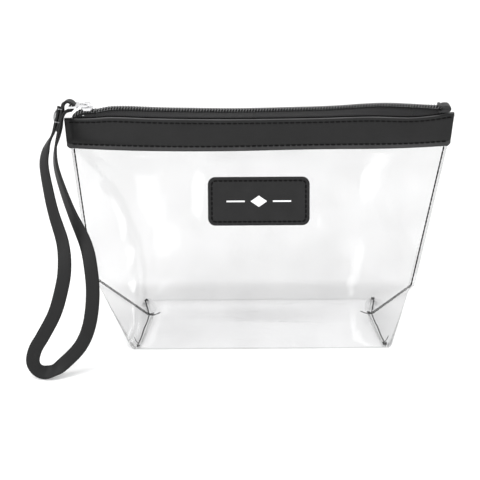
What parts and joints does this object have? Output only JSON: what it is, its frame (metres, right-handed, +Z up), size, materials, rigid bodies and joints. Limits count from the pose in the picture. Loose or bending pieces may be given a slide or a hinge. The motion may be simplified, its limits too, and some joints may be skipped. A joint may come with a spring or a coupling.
{
  "type": "clear cosmetic pouch",
  "caption": "Clear film makeup bag with a boxed base, dark trim band, top coil zip with a slotted pull, and a looped wrist strap.",
  "frame": {"origin": "centre of the base, on the surface that the pouch stands on", "axes": "+X to the right along the zip, away from the closed end; -Y to the front, where the label is; +Z up"},
  "size_m": [0.256, 0.1198, 0.1484],
  "materials": {
    "clear_film": "clear flexible film, glossy, faintly wrinkled",
    "faux_leather": "black coated faux leather, satin, fine grain",
    "strap_leather": "black faux leather strap, matte, fine grain",
    "foil": "silver foil stamp",
    "thread": "black twisted sewing thread",
    "zip_tape": "black woven zip tape",
    "zip_coil": "black nylon coil, semi-gloss",
    "bright_metal": "nickel-plated, bright",
    "spring_steel": "plain spring steel"
  },
  "bodies": {
    "bag": {"film_body": "clear_film", "front_band": "faux_leather", "back_band": "faux_leather", "front_facing": "faux_leather", "back_facing": "faux_leather", "label_patch": "faux_leather", "label_ornament": "foil", "label_thread": "thread", "front_top_thread": "thread", "front_hem_thread": "thread", "back_top_thread": "thread", "back_hem_thread": "thread", "side_thread_left": "thread", "side_thread_right": "thread", "corner_thread_left": "thread", "corner_thread_right": "thread", "zip_left_tape": "zip_tape", "zip_left_coil": "zip_coil", "zip_right_tape": "zip_tape", "zip_right_coil": "zip_coil", "zip_end_tab": "faux_leather"},
    "zip_front": {"zip_tape_front": "zip_tape", "zip_coil_front": "zip_coil"},
    "zip_back": {"zip_tape_back": "zip_tape", "zip_coil_back": "zip_coil"},
    "slider": {"slider_body": "bright_metal", "slider_crown": "bright_metal", "slider_lock_spring": "spring_steel"},
    "pull": {"zip_pull": "bright_metal"},
    "strap": {"wrist_strap": "strap_leather", "strap_clip": "bright_metal"}
  },
  "joints": [
    {"name": "zip_front_open", "type": "hinge", "parent": "bag", "child": "zip_front", "pos_m": [0, -0.0094, 0.1386], "axis": [1, 0, 0], "range_deg": [0, 80]},
    {"name": "zip_back_open", "type": "hinge", "parent": "bag", "child": "zip_back", "pos_m": [0, 0.0094, 0.1386], "axis": [1, 0, 0], "range_deg": [-80, 0]},
    {"name": "slider_travel", "type": "slide", "parent": "bag", "child": "slider", "axis": [1, 0, 0], "range_m": [0, 0.2], "deforming": ["wrist_strap", "strap_clip"]},
    {"name": "pull_flip", "type": "hinge", "parent": "slider", "child": "pull", "pos_m": [-0.1045, 0, 0.1444], "axis": [0, 1, 0], "range_deg": [0, 170]},
    {"name": "strap_swing", "type": "hinge", "parent": "pull", "child": "strap", "pos_m": [-0.1145, 0, 0.1444], "axis": [0, 1, 0], "range_deg": [0, 80]}
  ],
  "couplings": [
    {"joint": "zip_back_open", "follows": "zip_front_open", "ratio": -1}
  ]
}
